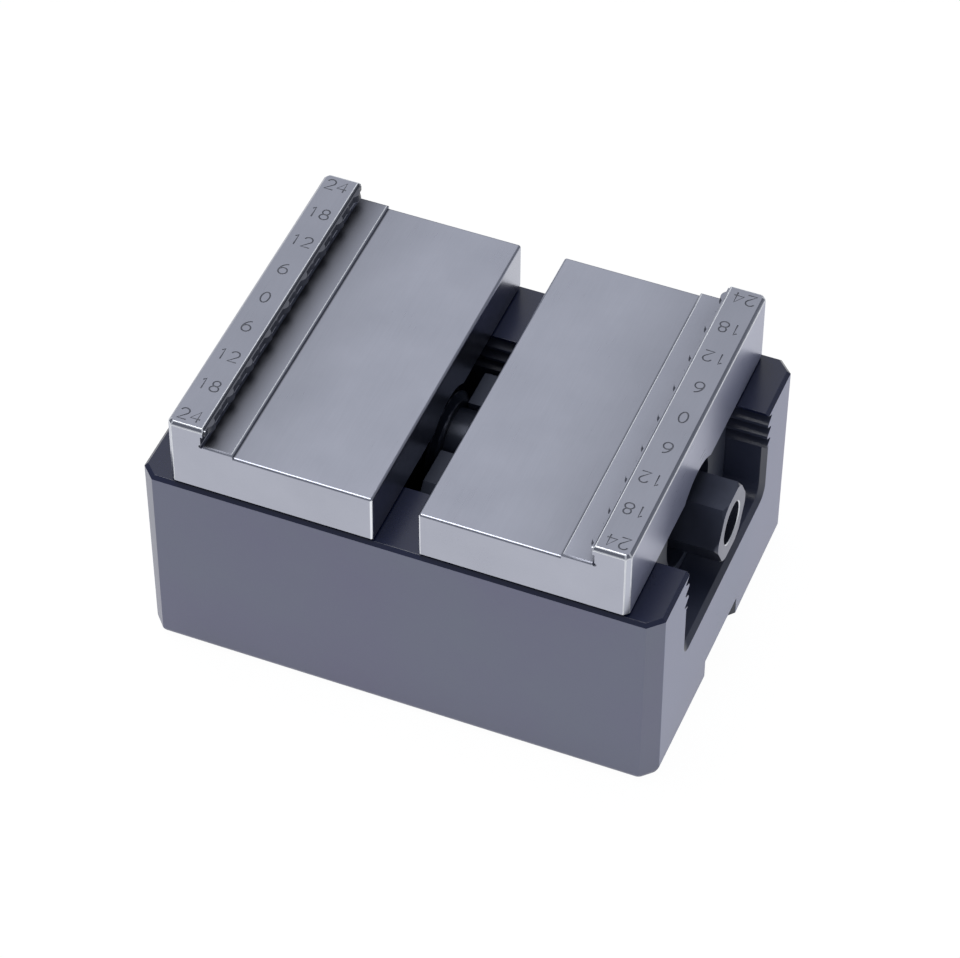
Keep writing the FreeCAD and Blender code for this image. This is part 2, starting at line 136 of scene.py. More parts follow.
class Finish:
    """A material with one metal shader, and the object coordinates that its patterns follow."""

    def __init__(self, name, metallic, roughness, ior=1.5):
        self.material = bpy.data.materials.new(name)
        self.material.use_nodes = True
        tree = self.material.node_tree
        tree.nodes.clear()
        output = tree.nodes.new("ShaderNodeOutputMaterial")
        self.shader = tree.nodes.new("ShaderNodeBsdfPrincipled")
        tree.links.new(self.shader.outputs[0], output.inputs[0])
        self.shader.inputs["Metallic"].default_value = metallic
        self.shader.inputs["Roughness"].default_value = roughness
        self.shader.inputs["IOR"].default_value = ior
        coordinates = tree.nodes.new("ShaderNodeTexCoord")
        self.place = Strand(tree, coordinates.outputs["Object"])

    def link(self, name, strand):
        self.place.tree.links.new(strand.socket, self.shader.inputs[name])

    def bump(self, height, depth):
        """Feeds a height from 0 to 1 into the normal, this deep in metres."""
        inputs = {"Strength": 1.0, "Distance": depth, "Height": height}
        self.link("Normal", self.place.node("ShaderNodeBump", {}, inputs))


def colour(red, green, blue):
    return (red, green, blue, 1.0)


def blackened_steel(name, light, dark, roughness, ior=1.6):
    """Ground steel with a dark conversion coat: soft clouds, fine pits and faint cutter lines along X."""
    finish = Finish(name, metallic=0.0, roughness=roughness, ior=ior)
    place = finish.place
    clouds = place.grain(48, detail=3.0)
    grit = place.grain(3500, detail=2.0)
    lines = place.stretched(180, 5200, 5200).grain(1.0, detail=2.0)
    shade = (clouds * 0.75 + grit * 0.25).between(0.32, 0.68)
    finish.link("Base Color", shade.blend(colour(*dark), colour(*light)))
    finish.link("Roughness", roughness - 0.04 + clouds * 0.06 + grit * 0.02)
    finish.bump(grit * 0.6 + lines * 0.4, COAT_RELIEF)
    return finish.material


def vectors(items, name):
    """One vector of every face or corner, such as its centre, as the rows of an array."""
    numbers = np.empty(len(items) * 3)
    items.foreach_get(name, numbers)
    return numbers.reshape(-1, 3)


def merged_copy(node, name):
    """A copy of a node's mesh with its loose triangles joined and its flat faces made whole."""
    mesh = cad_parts[node].data.copy()
    mesh.name = name
    shell = bmesh.new()
    shell.from_mesh(mesh)
    bmesh.ops.remove_doubles(shell, verts=shell.verts, dist=0.002 * MM)
    flat = math.radians(0.3)
    bmesh.ops.dissolve_limit(shell, angle_limit=flat, verts=shell.verts, edges=shell.edges)
    shell.to_mesh(mesh)
    shell.free()
    mesh.materials.clear()
    return mesh


def shown(name, mesh, body):
    """Puts a finished mesh into the scene as a piece that rides on a body, with its square faces flat."""
    mesh.shade_smooth()
    mesh.set_sharp_from_angle(angle=SHARP_ANGLE)
    square = np.abs(vectors(mesh.polygons, "normal")).max(axis=1) > 0.99999
    mesh.polygons.foreach_set("use_smooth", ~square)
    piece = bpy.data.objects.new(name, mesh)
    bpy.context.scene.collection.objects.link(piece)
    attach(piece, body)
    return piece


def add_bevel(piece, name, width, segments, **settings):
    """A bevel of this width, with its other settings by name."""
    bevel = piece.modifiers.new(name, "BEVEL")
    bevel.width = width
    bevel.segments = segments
    for setting, value in settings.items():
        setattr(bevel, setting, value)


def shading_copy_of_faces(mesh):
    """Which coat each body face takes: sides and foot 0, ends 1 painted light, top 2 and channel inside 3
    painted shade.
    """
    centre = np.abs(vectors(mesh.polygons, "center"))
    normal = np.abs(vectors(mesh.polygons, "normal"))
    upright = normal[:, 2] < 0.8
    at_end = centre[:, 0] > body_high.x - NEAR
    at_side = centre[:, 1] > body_high.y - FOOT_CHAMFER / 2 - NEAR
    at_corner = centre[:, 0] / body_high.x + centre[:, 1] / body_high.y > 1.92
    on_top = centre[:, 2] > body_high.z - TOP_CHAMFER
    coat = np.full(len(mesh.polygons), 3)
    coat[on_top] = 2
    coat[upright & (at_side | at_corner) & ~on_top] = 0
    coat[(normal[:, 0] > 0.99) & at_end] = 1
    coat[centre[:, 2] < FOOT_CHAMFER - NEAR] = 0
    return coat


def foot_edges(mesh):
    """True for the edges round the outside of the foot, where it meets the floor and the sides."""
    corners = vectors(mesh.vertices, "co")
    reach = np.abs(corners)
    band = FOOT_CHAMFER + NEAR
    outside = (reach[:, 0] > body_high.x - band) | (reach[:, 1] > body_high.y - band)
    low = outside & (corners[:, 2] < band) & (reach[:, 1] > KEYWAY_HALF_WIDTH + NEAR)
    ends = np.empty(len(mesh.edges) * 2, dtype=int)
    mesh.edges.foreach_get("vertices", ends)
    return low[ends.reshape(-1, 2)].all(axis=1)


# One blackened coat in four copies: the ends painted lighter, the top and the channel darker, as painted
# light and shade.
body_lit_and_shaded_coats = [
    blackened_steel("body_slate_coat", (0.158, 0.180, 0.272), (0.148, 0.146, 0.270), 0.32, ior=1.7),
    blackened_steel("body_end_painted_light", (0.205, 0.240, 0.415), (0.195, 0.208, 0.400), 0.34, ior=1.6),
    blackened_steel("body_top_painted_shade", (0.010, 0.015, 0.052), (0.006, 0.010, 0.040), 0.26),
    blackened_steel("body_channel_painted_shade", (0.044, 0.052, 0.090), (0.032, 0.038, 0.070), 0.36),
]
body_mesh = merged_copy("body", "body_blackened")
for coat in body_lit_and_shaded_coats:
    body_mesh.materials.append(coat)
body_mesh.polygons.foreach_set("material_index", shading_copy_of_faces(body_mesh))
at_foot = body_mesh.attributes.new("bevel_weight_edge", "FLOAT", "EDGE")
at_foot.data.foreach_set("value", foot_edges(body_mesh).astype(float))
body_piece = shown("body_blackened", body_mesh, "base")
add_bevel(body_piece, "tumbled_foot", FOOT_ROUND, 4, limit_method="WEIGHT", harden_normals=True)
by_angle = {"limit_method": "ANGLE", "angle_limit": SHARP_ANGLE, "harden_normals": True}
add_bevel(body_piece, "broken_edge", EDGE_BREAK, 2, **by_angle)
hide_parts("body")


# Jaws
# Two equal pieces of hardened steel, one turned half a turn: a lip with a row of teeth, a ledge that the
# workpiece lies on and a plate. They are ground all over and left bright. Their numerals are engraved with
# a round-nosed cutter, every 6 mm from 24 through 0 to 24.

jaw_low, jaw_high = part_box("right_jaw")
LIP_WIDTH = 5.2 * MM
LIP_RISE = 3.0 * MM
LIP_RIM = 0.45 * MM
LIP_BEVEL = 0.2 * MM
LEDGE_WIDTH = 4.2 * MM
LEDGE_RISE = 0.5 * MM
LEDGE_BREAK = 0.2 * MM
CORNER_CHAMFER = 0.65 * MM
INNER_ROUND = 0.4 * MM
TOOTH_REACH = 1.2 * MM
UNDERCUT = 0.5 * MM
lip_x = jaw_high.x - LIP_WIDTH
step_x = lip_x - LEDGE_WIDTH
ledge_z = jaw_high.z - LIP_RISE
plate_z = ledge_z - LEDGE_RISE

# How close to an edge counts as on it, how wide its painted glint is, and how much of that width each edge
# takes
HAIR = 0.01 * MM
GLINT_WIDTH = 0.13 * MM
LEDGE_GLINT = 0.6
HEM_GLINT = 0.4
BROW_GLINT = 0.35
GRINDING_RELIEF = 0.0005 * MM


def arc(centre, radii, start, stop, count=13):
    """Points on an ellipse from one angle to another, in degrees, counted anticlockwise from +X."""
    angle = np.radians(np.linspace(start, stop, count))
    across = centre[0] + radii[0] * np.cos(angle)
    return np.stack([across, centre[1] + radii[1] * np.sin(angle)], axis=1)


def joined(*parts):
    """Strokes laid end to end."""
    return np.concatenate([np.asarray(part, float) for part in parts])


# Each digit's strokes in a cell that is one high, with its foot at 0
SIX_TAIL = arc((0.68, 0.36), (0.64, 0.66), 100, 180, 9)
SIX_BOWL = arc((0.37, 0.31), (0.33, 0.31), 180, 540, 21)
EIGHT_TOP = arc((0.36, 0.75), (0.27, 0.25), -90, 270, 19)
EIGHT_BOWL = arc((0.36, 0.26), (0.33, 0.26), 90, 450, 21)
DIGIT_STROKES = {
    "0": [arc((0.35, 0.5), (0.31, 0.5), 90, 450, 25)],
    "1": [joined([(0.2, 0.82), (0.4, 1.0), (0.4, 0.0)])],
    "2": [joined(arc((0.36, 0.71), (0.32, 0.29), 165, -35, 13), [(0.04, 0.0), (0.72, 0.0)])],
    "4": [joined([(0.56, 0.0), (0.56, 1.0), (0.02, 0.3), (0.76, 0.3)])],
    "6": [joined(SIX_TAIL, SIX_BOWL)],
    "8": [EIGHT_TOP, EIGHT_BOWL],
}
DIGIT_HEIGHT = 2.0 * MM
DIGIT_CELL = 1.9 * MM
DIGIT_INK = 0.72 * DIGIT_CELL
DIGIT_STEP = 1.75 * MM
DIGIT_FROM_OUTER_FACE = 2.5 * MM
NUMERAL_STEP = 6
NUMERALS_EACH_WAY = 4
CUTTER_RADIUS = 0.125 * MM
CUTTER_LIFT = 0.04 * MM


def stroke_tube(path, radius, sides=8):
    """A closed tube along a flat path: at each point a ring stands across the mean of the two directions."""
    path = np.asarray(path, float)
    closed = np.linalg.norm(path[0] - path[-1]) < 1e-9
    if closed:
        path = path[:-1]
        ahead = np.roll(path, -1, axis=0) - path
        behind = path - np.roll(path, 1, axis=0)
    else:
        step = np.diff(path, axis=0)
        ahead = np.concatenate([step, step[-1:]])
        behind = np.concatenate([step[:1], step])
    along = ahead / np.linalg.norm(ahead, axis=1)[:, None]
    along += behind / np.linalg.norm(behind, axis=1)[:, None]
    along /= np.linalg.norm(along, axis=1)[:, None]
    across = np.stack([-along[:, 1], along[:, 0]], axis=1)
    angle = np.linspace(0, 2 * np.pi, sides, endpoint=False)
    ring = np.zeros((len(path), sides, 3))
    ring[:, :, :2] = path[:, None] + radius * np.cos(angle)[None, :, None] * across[:, None]
    ring[:, :, 2] = radius * np.sin(angle)
    rows = len(path) if closed else len(path) - 1
    first = np.arange(rows)[:, None] * sides + np.arange(sides)
    turned = np.arange(rows)[:, None] * sides + (np.arange(sides) + 1) % sides
    over = len(path) * sides
    quads = np.stack([first, (first + sides) % over, (turned + sides) % over, turned], axis=2)
    faces = quads.reshape(-1, 4).tolist()
    if not closed:
        faces.append(list(range(sides)))
        faces.append(list(range((len(path) - 1) * sides, len(path) * sides))[::-1])
    return ring.reshape(-1, 3), faces


def numeral_cutters(outer_x, top_z):
    """One tube per stroke of the numerals along the right-hand jaw's lip, which read from the far side."""
    tubes = []
    for step in range(-NUMERALS_EACH_WAY, NUMERALS_EACH_WAY + 1):
        text = str(NUMERAL_STEP * abs(step))
        width = DIGIT_STEP * (len(text) - 1) + DIGIT_INK
        for place, digit in enumerate(text):
            for points in DIGIT_STROKES[digit]:
                u = points[:, 0] * DIGIT_CELL + place * DIGIT_STEP - width / 2
                v = (points[:, 1] - 0.5) * DIGIT_HEIGHT
                centre = outer_x - DIGIT_FROM_OUTER_FACE
                path = np.stack([centre - u, step * NUMERAL_STEP * MM - v], axis=1)
                ring, faces = stroke_tube(path, CUTTER_RADIUS)
                ring[:, 2] += top_z + CUTTER_LIFT
                tubes.append((ring, faces))
    return tubes


def step_wedge(x, z):
    """A long wedge at 45 degrees that breaks the step's upper edge, and stands out of it by as much."""
    out, cut = LEDGE_BREAK, 2 * LEDGE_BREAK
    section = [(x - out, z - cut), (x - out, z + out), (x + cut, z + out)]
    far = jaw_high.y + 4 * MM
    ring = np.array([(px, y, pz) for y in (-far, far) for px, pz in section])
    return ring, [[0, 1, 2], [5, 4, 3], [0, 3, 4, 1], [1, 4, 5, 2], [2, 5, 3, 0]]


def engraved(mesh, tubes, fill):
    """The mesh with a groove cut along each tube, whose walls take the fill's colour."""
    target = bpy.data.objects.new("jaw_blank", mesh)
    bpy.context.scene.collection.objects.link(target)
    for batch in (tubes[0::2], tubes[1::2]):
        if not batch:
            continue
        points, faces, offset = [], [], 0
        for ring, quads in batch:
            points.append(ring)
            faces += [[corner + offset for corner in face] for face in quads]
            offset += len(ring)
        cutter_mesh = bpy.data.meshes.new("engraving_cutter")
        cutter_mesh.from_pydata(np.concatenate(points).tolist(), [], faces)
        cutter_mesh.materials.append(fill)
        shell = bmesh.new()
        shell.from_mesh(cutter_mesh)
        bmesh.ops.recalc_face_normals(shell, faces=shell.faces)
        shell.to_mesh(cutter_mesh)
        shell.free()
        cutter = bpy.data.objects.new("engraving_cutter", cutter_mesh)
        bpy.context.scene.collection.objects.link(cutter)
        cut = target.modifiers.new("engraving", "BOOLEAN")
        cut.operation = "DIFFERENCE"
        cut.solver = "EXACT"
        cut.use_self = True
        cut.material_mode = "TRANSFER"
        cut.object = cutter
        graph = bpy.context.evaluated_depsgraph_get()
        result = bpy.data.meshes.new_from_object(target.evaluated_get(graph))
        target.modifiers.clear()
        target.data = result
        bpy.data.objects.remove(cutter)
    finished = target.data
    bpy.data.objects.remove(target)
    return finished


def ground_steel(name, light, dark, roughness):
    """Bright ground steel: faint lines of the wheel along Y, soft clouds and a few dull smears of handling.

    Returns the finish with its tone, roughness and relief, for the piece's own marks to be added.
    """
    finish = Finish(name, metallic=1.0, roughness=roughness)
    place = finish.place
    clouds = place.grain(120, detail=3.0)
    smears = place.grain(45, detail=4.0, roughness=0.6).between(0.5, 0.75)
    lines = place.stretched(6000, 200, 6000).grain(1.0, detail=2.0)
    grit = place.grain(5000, detail=1.0)
    tone = (clouds * 0.7 + lines * 0.3).between(0.3, 0.7).blend(colour(*dark), colour(*light))
    dullness = roughness - 0.06 + clouds * 0.05 + lines * 0.05 + smears * 0.06
    return finish, tone, dullness, lines * 0.6 + grit * 0.4


def jaw_steel(name, painted_shade_weight):
    """Ground steel, satin on the outer face, with painted highlights on the corners and rougher on the ledge.

    Painted shade darkens the lip's bevel and the ledge, most beside the teeth, by a weight given for each
    jaw, and dims the lip's top and the plate towards the step, with a painted shadow on the seam at the
    step's foot.
    """
    light = (0.440, 0.455, 0.530)
    finish, tone, dullness, relief = ground_steel(name, light, (0.395, 0.410, 0.480), 0.30)
    sideways, across, height = (finish.place.reach(axis) for axis in range(3))
    outer_face = sideways.past(jaw_high.x - 0.04 * MM, 0.02 * MM)
    corner = (sideways + across).past(jaw_high.x + jaw_high.y - CORNER_CHAMFER - 0.06 * MM, 0.03 * MM)
    inner_corner = (across - sideways).past(jaw_high.y - jaw_low.x - INNER_ROUND + 0.06 * MM, 0.04 * MM)
    lip = sideways.past(lip_x, 0.1 * MM)
    step = sideways.past(step_x, 0.1 * MM)
    seam = sideways.past(step_x - 0.19 * MM, 0.09 * MM)
    plate = (1.0 - step) * height.past(plate_z - 0.1 * MM, 0.05 * MM)
    ledge = (step - lip) * height.past(ledge_z - 0.1 * MM, 0.05 * MM)
    lip_top = lip * height.past(jaw_high.z - LIP_RIM, 0.05 * MM)
    bevel = lip_top * (1.0 - sideways.past(lip_x + LIP_BEVEL, 0.02 * MM))
    # Painted shade: a dimmer plate and lip top, a painted shadow on the seam, a darker ledge and bevel by the
    # teeth.
    painted_dimming = plate * (sideways.between(14 * MM, step_x) * 0.2 + seam * 0.5) + lip_top * 0.2
    towards_teeth = sideways.between(step_x - 0.7 * MM, lip_x - 0.6 * MM)
    painted_ledge_shade = bevel * 0.5 + ledge * (0.2 + towards_teeth * 0.75)
    painted_shade_colour = colour(*(0.25 * part for part in light))
    shade_painted_tone = (painted_dimming + painted_ledge_shade * painted_shade_weight).blend(tone, painted_shade_colour)
    sided = outer_face.blend(shade_painted_tone, colour(0.40, 0.42, 0.56))
    # Painted highlights: the corner chamfer painted a lighter grey, the inner upright rounding nearly white.
    corner_highlighted = corner.blend(sided, colour(0.50, 0.52, 0.60))
    finish.link("Base Color", inner_corner.blend(corner_highlighted, colour(0.85, 0.87, 0.92)))
    finish.link("Metallic", 1.0 - outer_face * 0.6)
    finish.link("Roughness", dullness + ledge * 0.18)
    finish.bump(relief * (1.0 - outer_face), GRINDING_RELIEF)
    return finish.material


def mark_teeth(mesh):
    """Darkens the teeth and the lip's inner wall, part scale and part painted shade, leaving the teeth's tops
    bright.
    """
    centre = vectors(mesh.polygons, "center")
    normal = vectors(mesh.polygons, "normal")
    index = np.empty(len(mesh.polygons), dtype=int)
    mesh.polygons.foreach_get("material_index", index)
    near_lip = (centre[:, 0] > lip_x - TOOTH_REACH) & (centre[:, 0] < lip_x + UNDERCUT)
    above_ledge = centre[:, 2] > ledge_z + 0.05 * MM
    below_bevel = centre[:, 2] < jaw_high.z - LIP_BEVEL + HAIR
    wall = (np.abs(normal[:, 1]) < 0.99) & (normal[:, 2] < 0.9)
    index[near_lip & above_ledge & below_bevel & wall] = 2
    mesh.polygons.foreach_set("material_index", index)


def rim_edges(mesh):
    """How much of the painted glint each edge takes: the chamfers' borders fully, and three others less.

    These are the ledge's edge, the hem round the foot and the brow over the teeth. The crest, where the
    lip's top meets its outer chamfer, doesn't glint at all.
    """
    place = vectors(mesh.vertices, "co")
    x, y, z = place[:, 0], np.abs(place[:, 1]), place[:, 2]
    end = np.sign(place[:, 1])
    corner = x + y > jaw_high.x + jaw_high.y - CORNER_CHAMFER - HAIR
    rim = z > jaw_high.z - LIP_RIM - HAIR
    outer_rim = rim & (x > jaw_high.x - LIP_RIM - HAIR)
    end_rim = rim & (y > jaw_high.y - LIP_RIM - HAIR)
    hem = (z < jaw_low.z + HAIR) & ((x > jaw_high.x - HAIR) | (y > jaw_high.y - HAIR))
    on_ledge = (np.abs(z - ledge_z) < HAIR) & (np.abs(x - step_x - LEDGE_BREAK) < HAIR)
    on_top = z > jaw_high.z - HAIR
    crest = on_top & outer_rim
    brow = on_top & (x < lip_x + LIP_BEVEL + HAIR)
    shell = bmesh.new()
    shell.from_mesh(mesh)
    weights = []
    for edge in shell.edges:
        ends = [vertex.index for vertex in edge.verts]
        sharp = len(edge.link_faces) == 2 and edge.calc_face_angle() > math.radians(20)
        at_one_end = end[ends].prod() > 0
        bordering = corner[ends].all() or (end_rim[ends].all() and at_one_end)
        bordering = bordering or (outer_rim[ends].all() and not crest[ends].all())
        lesser = max(
            LEDGE_GLINT * on_ledge[ends].all(),
            HEM_GLINT * hem[ends].all(),
            BROW_GLINT * brow[ends].all(),
        )
        weights.append(sharp * max(1.0 * bordering, lesser))
    shell.free()
    return np.array(weights, float)


# The jaws differ only in the weight of painted shade on the ledge and bevel: less on the right, more on the
# left.
jaw_bright = jaw_steel("jaw_ground_steel", painted_shade_weight=0.3)
jaw_shaded = jaw_steel("jaw_shaded_steel", painted_shade_weight=1.0)
numeral_dark = blackened_steel("numeral_oxide", (0.130, 0.136, 0.165), (0.095, 0.100, 0.125), 0.5)
# The tooth coat is partly the teeth's own scale and partly painted shade in the undercut below the lip.
tooth_scale_and_shade = blackened_steel("tooth_scale_and_shade", (0.090, 0.096, 0.125), (0.055, 0.060, 0.080), 0.40)
# A painted highlight: a near-white, half-metal colour for the hair bevels on the jaws' edges and the socket's
# mouth.
painted_glint_finish = Finish("edge_painted_glint", metallic=0.6, roughness=0.4)
glint_mottle = painted_glint_finish.place.grain(900, detail=2.0).between(0.3, 0.7)
painted_glint_finish.link("Base Color", glint_mottle.blend(colour(0.78, 0.80, 0.85), colour(0.88, 0.90, 0.94)))
edge_painted_glint = painted_glint_finish.material
right_blank = merged_copy("right_jaw", "right_jaw_ground")
right_blank.materials.append(jaw_bright)
right_blank = engraved(right_blank, [step_wedge(step_x, ledge_z)], jaw_bright)
right_mesh = engraved(right_blank, numeral_cutters(jaw_high.x, jaw_high.z), numeral_dark)
right_mesh.name = "right_jaw_ground"
for coat in (tooth_scale_and_shade, edge_painted_glint):
    right_mesh.materials.append(coat)
mark_teeth(right_mesh)
rim_weight = right_mesh.attributes.new("bevel_weight_edge", "FLOAT", "EDGE")
rim_weight.data.foreach_set("value", rim_edges(right_mesh))
left_mesh = right_mesh.copy()
left_mesh.name = "left_jaw_ground"
left_mesh.materials[0] = jaw_shaded
left_mesh.transform(Matrix.Rotation(math.pi, 4, "Z"))
by_weight = {"limit_method": "WEIGHT", "use_clamp_overlap": False, "material": 3}
for side, mesh in (("right", right_mesh), ("left", left_mesh)):
    jaw = shown(f"{side}_jaw_ground", mesh, f"{side}_jaw_unit")
    add_bevel(jaw, "edge_painted_glint", GLINT_WIDTH, 2, **by_weight)
    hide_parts(f"{side}_jaw")


# Spindle
# One turned bar: a right-hand thread on one side of the journal, a left-hand thread on the other, and at
# each end a milled hexagon for a socket wrench with a hexagon socket inside it. The threads are cut, the
# rest is turned and polished, and it runs with a film of oil.

SPINDLE_Z = 25.8 * MM
SPINDLE_END = 37.5 * MM
JOURNAL_RADIUS = 4.8 * MM
JOURNAL_HALF_LENGTH = 2.5 * MM
THREAD_RADIUS = 7.0 * MM
THREAD_END = 25.5 * MM
THREAD_PITCH = 2.0 * MM
THREAD_DEPTH = 1.15 * MM
THREAD_ROWS = 231
NECK_RADIUS = 5.0 * MM
HEXAGON_START = 26.5 * MM
HEXAGON_FLATS = 10.0 * MM
HEXAGON_CHAMFER = 0.45 * MM
MOUTH_RADIUS = 3.05 * MM
MOUTH_CHAMFER = 0.14 * MM
MOUTH_DEPTH = 1.0 * MM
SOCKET_FLATS = 5.0 * MM
SOCKET_FLOOR = 32.5 * MM
DRILL_RADIUS = 1.6 * MM


def hexagon_radius(flats, angle):
    """How far a hexagon's side lies from its axis at an angle, with flats above and below."""
    from_flat = np.mod(angle, np.pi / 3) - np.pi / 6
    return flats / 2 / np.cos(from_flat)


def thread_groove(x, pitch, angle, crest, flank):
    """How deep a helix has cut at each x and angle, from 0 on its crest to 1 at its root.

    The helix moves along x by one pitch a turn. Its crest takes this share of the half pitch, and its flank
    the next.
    """
    phase = np.mod(x / pitch - angle / (2 * np.pi), 1.0)
    return np.clip((np.abs(phase - 0.5) * 2 - crest) / flank, 0, 1)


def spindle_stations(turns):
    """One half of the spindle, from its middle to the floor of its socket: x and radius at each angle.

    Each row is a ring. A thread's radius falls from crest to root with its groove, inside a cone at each
    end, and a hexagon's radius is cut by the cone of its end chamfer.
    """
    angle = turns[None, :]
    rows_x, rows_r = [], []

    def add(x, radius):
        x = np.atleast_1d(np.asarray(x, float))
        rows_x.append(np.repeat(x[:, None], angle.shape[1], axis=1))
        rows_r.append(np.broadcast_to(radius, (len(x), angle.shape[1])).copy())

    add([0.0, JOURNAL_HALF_LENGTH], JOURNAL_RADIUS)
    x = np.linspace(JOURNAL_HALF_LENGTH, THREAD_END, THREAD_ROWS)
    cut = thread_groove(x[:, None], THREAD_PITCH, angle, crest=0.14, flank=0.62)
    start_cone = THREAD_RADIUS - 0.7 * MM + (x - JOURNAL_HALF_LENGTH) * 1.2
    end_cone = THREAD_RADIUS - 1.0 * MM + THREAD_END - x
    cones = np.minimum(start_cone, end_cone)[:, None]
    add(x, np.minimum(THREAD_RADIUS - THREAD_DEPTH * cut, cones))
    add([THREAD_END, HEXAGON_START], NECK_RADIUS)
    corner = HEXAGON_FLATS / math.sqrt(3)
    from_start = np.array([0, 0.2, 0.45, 3.5, 7.5]) * MM
    from_end = np.array([0.6, 0.45, 0.3, 0.15, 0]) * MM
    x = np.concatenate([HEXAGON_START + from_start, SPINDLE_END - from_end])
    from_face = np.minimum(x - HEXAGON_START, SPINDLE_END - x)
    cone = np.minimum(corner, corner - HEXAGON_CHAMFER + from_face)
    add(x, np.minimum(hexagon_radius(HEXAGON_FLATS, angle), cone[:, None]))
    mouth_x = [SPINDLE_END, SPINDLE_END - MOUTH_CHAMFER, SPINDLE_END - MOUTH_DEPTH]
    add(mouth_x, np.array([MOUTH_RADIUS + MOUTH_CHAMFER, MOUTH_RADIUS, MOUTH_RADIUS])[:, None])
    add([SPINDLE_END - MOUTH_DEPTH, SOCKET_FLOOR], hexagon_radius(SOCKET_FLATS, angle))
    add([SOCKET_FLOOR - 0.2 * MM], DRILL_RADIUS)
    add([SOCKET_FLOOR - 0.9 * MM], 0.0)
    return np.concatenate(rows_x), np.concatenate(rows_r)


def ring_mesh(name, x, y, z):
    """A closed skin over rings of points: neighbours joined by quads, both end rings closed at a pole."""
    rows, count = x.shape
    points = np.stack([x, y, z], axis=2).reshape(-1, 3)
    first = np.arange(rows - 1)[:, None] * count + np.arange(count)
    turned = np.arange(rows - 1)[:, None] * count + (np.arange(count) + 1) % count
    quads = np.stack([first, turned, turned + count, first + count], axis=2).reshape(-1, 4)
    mesh = bpy.data.meshes.new(name)
    mesh.from_pydata(points.tolist(), [], quads.tolist())
    shell = bmesh.new()
    shell.from_mesh(mesh)
    bmesh.ops.remove_doubles(shell, verts=shell.verts, dist=0.0005 * MM)
    bmesh.ops.dissolve_degenerate(shell, edges=shell.edges, dist=0.0005 * MM)
    bmesh.ops.recalc_face_normals(shell, faces=shell.faces)
    shell.to_mesh(mesh)
    shell.free()
    return mesh


def turned_steel(name, light, dark, roughness):
    """Turned and blackened steel with an uneven film of oil, painted shade on the threads and journal, paler
    on its ends.
    """
    finish = Finish(name, metallic=0.5, roughness=roughness)
    place = finish.place
    rings = place.stretched(7000, 300, 300).grain(1.0, detail=2.0)
    film = place.grain(160, detail=3.0).between(0.35, 0.7)
    outward = place.reach(0)
    oiled = film.blend(colour(*light), colour(*dark))
    # Painted shade: the threads and journal, down in the channel under the jaws, are painted nearly black.
    coat = outward.past(THREAD_END - 0.5 * MM, 1 * MM).blend(colour(0.014, 0.018, 0.032), oiled)
    end_face = outward.past(SPINDLE_END - 0.03 * MM, 0.02 * MM)
    finish.link("Base Color", end_face.blend(coat, colour(0.13, 0.14, 0.21)))
    finish.link("Roughness", roughness + rings * 0.06 - film * 0.05)
    finish.bump(rings, 0.003 * MM)
    return finish.material


ring_angles = np.linspace(0, 2 * np.pi, 96, endpoint=False)
half_x, half_r = spindle_stations(ring_angles)
stations_x = np.concatenate([-half_x[:0:-1], half_x])
stations_r = np.concatenate([half_r[:0:-1], half_r])
stations_y = stations_r * np.cos(ring_angles)
stations_z = SPINDLE_Z + stations_r * np.sin(ring_angles)
spindle_mesh = ring_mesh("spindle_turned", stations_x, stations_y, stations_z)
oiled_steel = turned_steel("spindle_steel", (0.060, 0.068, 0.100), (0.042, 0.048, 0.074), 0.34)
for coat in (oiled_steel, edge_painted_glint):
    spindle_mesh.materials.append(coat)
centre = vectors(spindle_mesh.polygons, "center")
from_axis = np.hypot(centre[:, 1], centre[:, 2] - SPINDLE_Z)
# The mouth's chamfer takes the painted glint, a painted highlight round the socket.
at_mouth = np.abs(from_axis - MOUTH_RADIUS - MOUTH_CHAMFER / 2) < 0.05 * MM
at_mouth &= np.abs(centre[:, 0]) > SPINDLE_END - 0.12 * MM
spindle_mesh.polygons.foreach_set("material_index", at_mouth.astype(int))
spindle_piece = shown("spindle_turned", spindle_mesh, "spindle")
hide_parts("spindle")


# Carriages and centre fork
# The carriages are hardened and blackened, with ground ribs that run in the body's grooves, and carry the
# nuts. The fork is set in from below and holds the spindle's journal. They keep the solids' own shape.

slide_coat = blackened_steel("carriage_blackened_steel", (0.046, 0.056, 0.092), (0.036, 0.044, 0.074), 0.42)
fork_coat = blackened_steel("fork_blackened_steel", (0.040, 0.050, 0.084), (0.032, 0.040, 0.068), 0.46)
inner_coats = {"left_carriage": slide_coat, "right_carriage": slide_coat, "centre_fork": fork_coat}
for node, coat in inner_coats.items():
    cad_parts[node].data.materials.clear()
    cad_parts[node].data.materials.append(coat)


# Screws
# Socket-head screws of hardened steel with black oxide: a knurled head with a rounded rim, a hexagon socket
# and a cut thread. Four hold each jaw to its carriage and four low-headed ones hold the fork.

SCREW_RADIUS = 2.0 * MM
SCREW_PITCH = 0.7 * MM
SCREW_THREAD_DEPTH = 0.4 * MM
PLAIN_SHANK = 1.0 * MM
SCREW_TIP = 0.5 * MM
KNURLS = 36
KNURL_DEPTH = 0.07 * MM
HEAD_RIM = 0.3 * MM
HEAD_BREAK = 0.25 * MM
SOCKET_BREAK = 0.12 * MM
JAW_SCREW = {"head_height": 4.0 * MM, "socket_flats": 3.0 * MM}
FORK_SCREW = {"head_height": 2.8 * MM, "socket_flats": 2.5 * MM}


